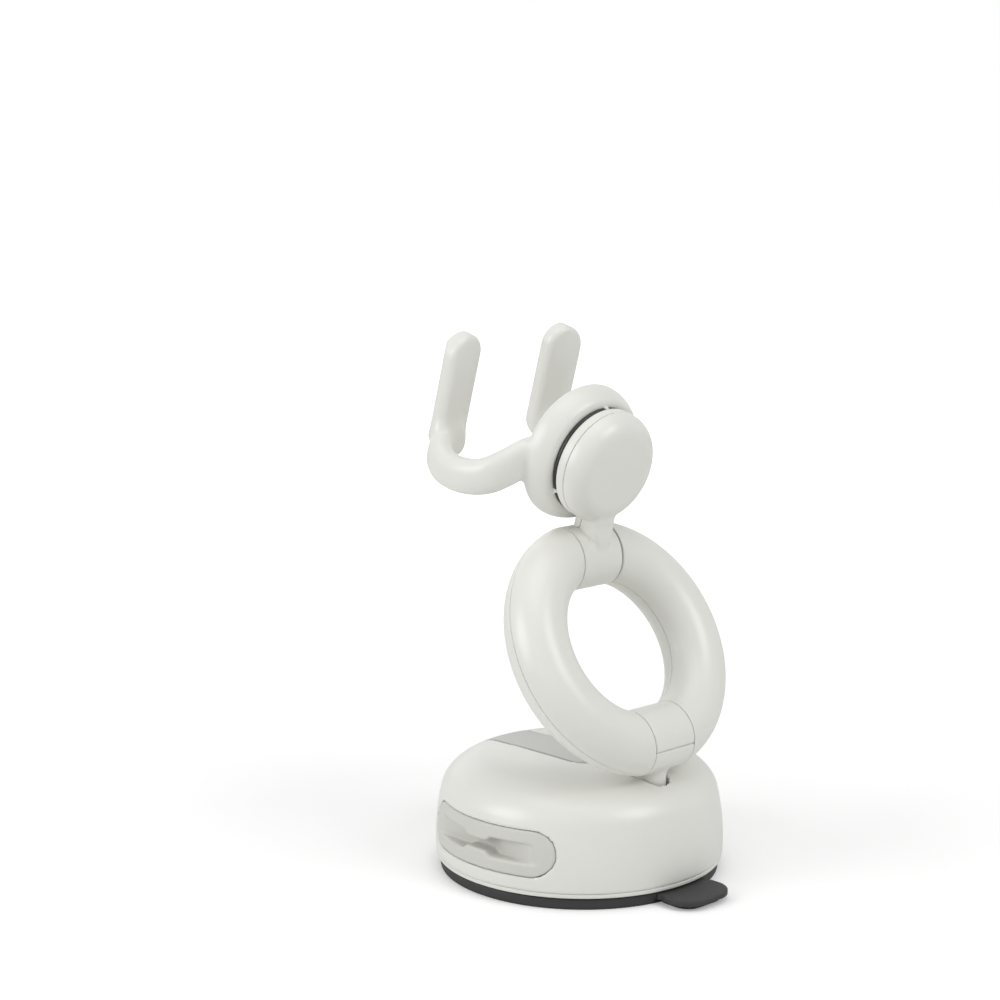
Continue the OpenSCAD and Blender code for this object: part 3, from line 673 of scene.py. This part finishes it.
def ringHalf(name, node, side, face):
    edge, tube, bore = ring["endEdge"], ring["tube"], ring["bore"]
    start, wallEnd = ring["start"], ring["start"] + ring["endWall"]
    turn = np.linspace(math.pi / 2, 0, ring["endSteps"])
    ends = [(start + edge * (1 - math.sin(t)), tube - edge * (1 - math.cos(t)), bore) for t in turn]
    ends += [(wallEnd, tube, bore), (wallEnd, tube, tube - ring["wall"])]
    rows = []
    for x, outer, inner in ends:
        loop = sectionLoop(outer, inner, face)
        rho = ringRadius + loop[:, 0]
        rows.append((rho, loop[:, 1], np.arcsin(x / rho)))
    middle = sectionLoop(tube, tube - ring["wall"], face)
    rho = ringRadius + middle[:, 0]
    first = np.arcsin(ends[-1][0] / rho)
    share = np.linspace(0, 1, ring["roundSteps"])[1:-1]
    body = [(rho, middle[:, 1], first + (math.pi - 2 * first) * s) for s in share]
    rows = rows + body + [(r, w, math.pi - a) for r, w, a in rows[::-1]]
    rho, w, angle = (np.array([row[k] for row in rows]) for k in range(3))
    local = np.stack([side * rho * np.sin(angle), w, ringRadius - rho * np.cos(angle)], -1)
    count = local.shape[1]
    quads = gridQuads(len(rows), count, False, True)
    inside = ring["innerSteps"]
    caps = []
    for row in (0, len(rows) - 1):  # the end faces close between the outer and the inner arc
        o = row * count + np.round(np.linspace(0, count - inside - 1, inside)).astype(int)
        i = row * count + count - 1 - np.arange(inside)
        caps.append(np.stack([o[:-1], o[1:], i[1:], i[:-1]], 1))
    points = toWorld(local.reshape(-1, 3), ringFrame)
    makePiece(name, points, np.concatenate([quads] + caps), offWhite, [node], "ring")


for sideName, side in (("Left", 1), ("Right", -1)):
    for faceName, face in (("Front", -1), ("Rear", 1)):
        node = "ring_" + sideName.lower() + "_" + faceName.lower()
        ringHalf("ring" + sideName + faceName, node, side, face)


# Head: round knob, neck and upper barrel flow together; the front shell carries a tongue down the neck
head = {
    "knob": 12.4,
    "rear": 6.0,
    "edge": 4.6,
    "seam": 1.3,
    "seamEdge": 0.1,
    "front": -1.3,
    "frontEdge": 0.9,
    "knobJoin": 0.5,
    "hub": 7,
    "hubFront": -6.45,
    "neckHalf": 2.9,
    "neckRear": 5.2,
    "neckLean": 0.28,
    "leanRun": 5,
    "neckEdge": 0.8,
    "neckLow": 8.0,
    "neckPoint": 0.62,
    "neckJoin": 0.7,
    "joinAt": 0.9,
    "joinRun": 1.6,
    "joinLeast": 0.02,
    "split": 0.62,
    "tongueLow": 6.0,
    "tongueRound": 1.3,
    "tongueEdge": 0.12,
    "tongueGap": 0.03,
    "tongueJoin": 0.4,
    "lip": 0.3,
    "lipWide": 0.26,
    "gap": 0.06,
    "barrelLeft": -5.45,
    "barrelRight": 5.9,
    "cell": 0.24,
}


# Neck: a bar with a pointed lower end that runs out over the barrel; its rear face leans outwards there
def neckField(x, y, z):
    low, lean = head["neckLow"], head["neckLean"]
    bar = np.hypot(x, head["neckPoint"] * np.minimum(z - low, 0)) - head["neckHalf"]
    out = lean * np.clip(low - z, 0, head["leanRun"])
    rear = (y - head["neckRear"] - out) / math.hypot(1, lean)
    neck = roundMax(bar, rear, head["neckEdge"])
    return np.maximum(neck, np.maximum(head["front"] - y, z - axisHeight))


# Tongue of the front shell, as wide as the neck, with a round lower corner behind
def tongueField(x, y, z, gap):
    corner = head["tongueRound"]
    rear, low = y - head["split"] + gap + corner, head["tongueLow"] + gap + corner - z
    corners = np.hypot(np.maximum(rear, 0), np.maximum(low, 0))
    side = np.minimum(np.maximum(rear, low), 0) + corners - corner
    return np.maximum(side, z - axisHeight)


def headRearField(x, y, z):
    q = np.hypot(x, z - axisHeight)
    knob = roundMax(q - head["knob"], y - head["rear"], head["edge"])
    knob = roundMax(knob, head["seam"] + head["gap"] - y, head["seamEdge"])
    neck = np.maximum(neckField(x, y, z), -tongueField(x, y, z, 0))
    lip = np.where(x < head["barrelLeft"], head["lip"], 0.0)
    left = head["barrelLeft"] - head["lipWide"]
    barrel = barrelField(x, y, z, left, head["barrelRight"], upperOut) + lip
    join = head["neckJoin"] * smoothStep((y - head["joinAt"]) / head["joinRun"]) + head["joinLeast"]
    return roundMin(roundMin(neck, barrel, join), knob, head["knobJoin"])


def headFrontField(x, y, z):
    q = np.hypot(x, z - axisHeight)
    disc = roundMax(q - head["knob"], head["front"] - y, head["frontEdge"])
    disc = roundMax(disc, y - head["seam"] + head["gap"], head["seamEdge"])
    wide = np.maximum(np.abs(x) - head["neckHalf"], head["front"] - y)
    tongue = roundMax(tongueField(x, y, z, head["gap"] + head["tongueGap"]), wide, head["tongueEdge"])
    hub = np.maximum(q - head["hub"], np.maximum(head["hubFront"] - y, y))
    return np.minimum(roundMin(disc, tongue, head["tongueJoin"]), hub)


# Dark friction washers show in the gaps at both ends of the upper barrel; their black is partly the
# washers' own colour and partly painted shade of the deep gaps
washer = {"radius": 6.0, "hole": 2.1, "gap": 0.04, "edge": 0.1, "steps": 160}
axleFrame = {"origin": headPin, "axes": headFrame["axes"][:, [1, 0, 2]]}
washerPlaces = {"upperWasherPaintedShadeLeft": (head["barrelRight"], ring["start"]),
                "upperWasherPaintedShadeRight": (-ring["start"], head["barrelLeft"] - head["lipWide"])}
for washerName, (low, high) in washerPlaces.items():
    low, high = low + washer["gap"], high - washer["gap"]
    edge = min(washer["edge"], (high - low) / 3)
    outline = roundedOutline([(washer["hole"], low, 0), (washer["radius"], low, edge),
                              (washer["radius"], high, edge), (washer["hole"], high, 0)])
    turnedPiece(washerName, outline, 0, axleFrame, innerBlack, ["upper_friction_washers"],
                "ring", washer["steps"])

fieldPiece("headRearShell", headRearField, (-13.5, -8, -8), (13.5, 8, 35), head["cell"], headFrame,
           offWhite, ["head_rear_shell"], "head")
fieldPiece("headFrontShell", headFrontField, (-13.5, -8, 4), (13.5, 3, 35), head["cell"], headFrame,
           offWhite, ["head_front_shell"], "head")


# Glide ring: a flange fills the gap behind the collar, and three slots let the collar's keys through
glide = {
    "outer": 11.48,
    "flange": 12.1,
    "inner": 7.12,
    "front": -4.25,
    "step": -2.2,
    "rear": -1.36,
    "edge": 0.2,
    "stepEdge": 0.1,
    "flangeEdge": 0.15,
    "keyHalf": 0.66,
    "keyFloor": 10.5,
    "keySoft": 0.12,
    "steps": 1080,
}
keyTurns = np.radians([90, 210, 330])


def makeGlideRing():
    steps, soft = glide["steps"], glide["keySoft"]
    angle = np.linspace(0, 2 * math.pi, steps, endpoint=False)[:, None]
    away = np.min(np.abs((angle - keyTurns + math.pi) % (2 * math.pi) - math.pi), axis=1)
    key = smoothStep((glide["keyHalf"] + soft / 2 - away * glide["outer"]) / soft)[:, None]
    outline = roundedOutline([(glide["inner"], glide["front"], glide["edge"]),
                              (glide["outer"], glide["front"], glide["edge"]),
                              (glide["outer"], glide["step"], 0),
                              (glide["flange"], glide["step"], glide["stepEdge"]),
                              (glide["flange"], glide["rear"], glide["flangeEdge"]),
                              (glide["inner"], glide["rear"], glide["edge"])])
    radius = outline[None, :, 0]
    radius = radius - key * np.maximum(radius - glide["keyFloor"], 0)
    local = np.stack([radius * np.cos(angle), outline[None, :, 1] + 0 * angle,
                      radius * np.sin(angle) + axisHeight], -1)
    quads = gridQuads(steps, len(outline), True, True)
    makePiece("glideRing", toWorld(local.reshape(-1, 3), headFrame), quads, glideBlack, ["glide_ring"],
              "cradle")


makeGlideRing()

# Cradle: a thick round collar with a hook at each side; a hook is an arm and a prong
cradle = {
    "bore": 11.6,
    "boreEdge": 0.3,
    "tubeAt": -7.4,
    "tubeMiddle": 8.35,
    "tube": 7.0,
    "rear": -2.24,
    "front": -9.14,
    "edge": 1.8,
    "lipEdge": 0.7,
    "web": -4.3,
    "pocket": 13.6,
    "pocketDeep": 1.1,
    "gripPlane": -36.6,
    "gripMiddle": 19.57,
    "blend": 1.0,
    "keyHalf": 0.58,
    "keyMiddle": 11.4,
    "keyDeep": 0.75,
    "keyAt": -3.2,
    "keyLong": 1.7,
    "cell": 0.42,
}
# Stations of an arm, from the collar to the prong: across, rearward, up, half width, half depth
arm = np.array([
    [10.5, 27.6, 1.2, 2.3, 4.6],
    [13.9, 27.1, 0.4, 2.5, 4.3],
    [17.6, 26.0, -1.9, 2.7, 4.1],
    [20.5, 23.5, -4.5, 2.8, 3.95],
    [21.9, 18.8, -6.3, 2.8, 3.9],
    [21.9, 13.4, -7.0, 2.8, 3.8],
    [21.1, 9.7, -6.3, 2.8, 3.8],
    [19.5, 7.3, -5.3, 2.7, 3.9],
    [17.2, 6.1, -4.4, 2.6, 3.9],
    [14.6, 5.8, -3.9, 2.4, 3.7],
])
oval = 2.4  # power of an arm's oval section: 2 is an ellipse, more is squarer
# A prong is a blade: flat towards the phone, with a soft ridge behind that comes forward towards the tip
prong = {
    "middle": 15.15,
    "half": 4.75,
    "low": -6.6,
    "high": 20.3,
    "innerCorner": 4.7,
    "outerCorner": 5.4,
    "front": 1.7,
    "innerRear": 5.2,
    "outerRear": 6.1,
    "ridgeAt": 17.2,
    "ridge": 7.3,
    "ridgeDrop": 1.2,
    "dropFrom": 12,
    "dropRun": 10,
    "ridgeEdge": 1.2,
    "rearEdge": 1.2,
    "frontEdge": 0.9,
    "bevelDeep": 1.7,
    "join": 2.2,
}


# Smooth curve through the rows, with steps parts between each pair
def splineRows(rows, steps):
    padded = np.concatenate([rows[:1], rows, rows[-1:]])
    t = np.linspace(0, 1, steps, endpoint=False)[:, None]
    parts = []
    for i in range(len(rows) - 1):
        a, b, c, d = padded[i:i + 4]
        cubic = (2 * a - 5 * b + 4 * c - d) + t * (3 * b - a - 3 * c + d)
        parts.append(b + 0.5 * t * ((c - a) + t * cubic))
    return np.concatenate(parts + [rows[-1:]])


def armLine():
    rows = splineRows(arm, 8)
    centre = rows[:, :3] + [0, cradle["gripPlane"], cradle["gripMiddle"]]
    along = np.gradient(centre, axis=0)
    along = along / np.linalg.norm(along, axis=1, keepdims=True)
    depth = np.array([0, 0, 1.0]) - along * along[:, 2:]
    depth = depth / np.linalg.norm(depth, axis=1, keepdims=True)
    return centre, np.cross(depth, along), depth, rows[:, 3], rows[:, 4]


armCentre, armSide, armDepth, armHalf, armThick = armLine()


# Value on the line, s of the way from row k to the next
def between(rows, k, s):
    share = s.reshape((-1,) + (1,) * (rows.ndim - 1))
    return rows[k] * (1 - share) + rows[k + 1] * share


# Distance to an arm: nearest place on its line, then the oval measured across it there. Points well
# away from the arms keep one value above zero, and the others are worked through in parts
def armField(points):
    result = np.full(len(points), 8.0)
    near = (points[:, 0] > 6) & (points[:, 1] < -5) & (points[:, 2] < 30)
    start, step = armCentre[:-1], np.diff(armCentre, axis=0)
    length = (step**2).sum(1)
    chosen = np.flatnonzero(near)
    for part in np.array_split(chosen, max(1, len(chosen) // 60000)):
        p = points[part]
        reach = (p @ step.T) - (start * step).sum(1)
        t = np.clip(reach / length, 0, 1)
        gap = (p**2).sum(1)[:, None] - 2 * (p @ start.T) + (start**2).sum(1)
        gap = gap - 2 * t * reach + t * t * length
        k = np.argmin(gap, axis=1)
        s = t[np.arange(len(p)), k]
        away = p - between(armCentre, k, s)
        u = (away * between(armSide, k, s)).sum(1)
        v = (away * between(armDepth, k, s)).sum(1)
        w = np.sqrt(np.maximum((away**2).sum(1) - u * u - v * v, 0))
        half, thick = between(armHalf, k, s), between(armThick, k, s)
        least = np.minimum(half, thick)
        ratio = np.abs(u / half) ** oval + np.abs(v / thick) ** oval + (w / least) ** oval
        result[part] = (ratio ** (1 / oval) - 1) * least
    return result


# Rearward s starts at the back of a held phone, and upward u at the middle of its grip
def prongField(x, s, u):
    middle = (prong["low"] + prong["high"]) / 2
    corner = np.where(x < prong["middle"], prong["innerCorner"], prong["outerCorner"])
    plan = boxField(x - prong["middle"], u - middle, prong["half"], prong["high"] - middle, corner)
    ridge = prong["ridge"] - prong["ridgeDrop"] * smoothStep((u - prong["dropFrom"]) / prong["dropRun"])
    inner, outer = prong["middle"] - prong["half"], prong["middle"] + prong["half"]
    risen = (ridge - prong["innerRear"]) / (prong["ridgeAt"] - inner)
    fallen = (ridge - prong["outerRear"]) / (outer - prong["ridgeAt"])
    innerFace = (s - prong["innerRear"] - risen * (x - inner)) / np.hypot(1, risen)
    outerFace = (s - prong["outerRear"] - fallen * (outer - x)) / np.hypot(1, fallen)
    rear = roundMax(innerFace, outerFace, prong["ridgeEdge"])
    # A 3-4-5 slope narrows the blade towards the phone
    bevel = 0.8 * x - 0.6 * s - 0.8 * outer + 0.6 * (prong["front"] + prong["bevelDeep"])
    blade = roundMax(np.maximum(plan, bevel), rear, prong["rearEdge"])
    return roundMax(blade, prong["front"] - s, prong["frontEdge"])


def hookField(x, y, z):
    points = np.stack([np.abs(x).ravel(), y.ravel(), z.ravel()], 1)
    s, u = points[:, 1] - cradle["gripPlane"], points[:, 2] - cradle["gripMiddle"]
    blade = prongField(points[:, 0], s, u)
    return roundMin(armField(points), blade, prong["join"]).reshape(x.shape)


# The collar's wall is the outer side of a thick torus, cut flat in front and behind
def collarField(q, y):
    wall = np.hypot(np.maximum(q - cradle["tubeMiddle"], 0), y - cradle["tubeAt"]) - cradle["tube"]
    wall = roundMax(wall, cradle["front"] - y, cradle["edge"])
    return roundMax(wall, y - cradle["rear"], cradle["lipEdge"])


# Three keys inside the bore and behind the lip hold the glide ring
def keyField(x, y, z):
    result = np.full(x.shape, 9.0)
    for turn in keyTurns:
        out = x * math.cos(turn) + (z - axisHeight) * math.sin(turn)
        across = (z - axisHeight) * math.cos(turn) - x * math.sin(turn)
        side = np.abs(across) - cradle["keyHalf"]
        end = np.abs(out - cradle["keyMiddle"]) - cradle["keyDeep"]
        result = np.minimum(result, np.maximum(side, end))
    return np.maximum(result, np.abs(y - cradle["keyAt"]) - cradle["keyLong"])


def cradleField(x, y, z):
    q = np.hypot(x, z - axisHeight)
    whole = roundMin(collarField(q, y), hookField(x, y, z), cradle["blend"])
    bore = np.maximum(q - cradle["bore"], cradle["web"] - y)
    pocket = np.maximum(q - cradle["pocket"], np.abs(y - cradle["front"]) - cradle["pocketDeep"])
    whole = np.maximum(roundMax(whole, -bore, cradle["boreEdge"]), -pocket)
    return np.minimum(whole, keyField(x, y, z))


fieldPiece("cradle", cradleField, (-27, -36, 5), (27, -1, 43), cradle["cell"], headFrame,
           offWhite, ["cradle"], "cradle")

# Cap: a shallow dome let into the front of the collar
cap = {"radius": 13.5, "rim": -8.74, "rise": 1.3, "backMiddle": -8.2, "backRim": -8.1}
dome = [(cap["radius"] * math.sin(t), cap["rim"] - cap["rise"] * math.cos(t))
        for t in np.linspace(0, math.pi / 2, 12)]
outline = [(0, cap["backMiddle"])] + dome + [(cap["radius"], cap["backRim"])]
turnedPiece("cradleCap", outline, axisHeight, headFrame, offWhite, ["cradle_cap"], "cradle")

scene = bpy.context.scene
scene.view_settings.view_transform = "Standard"
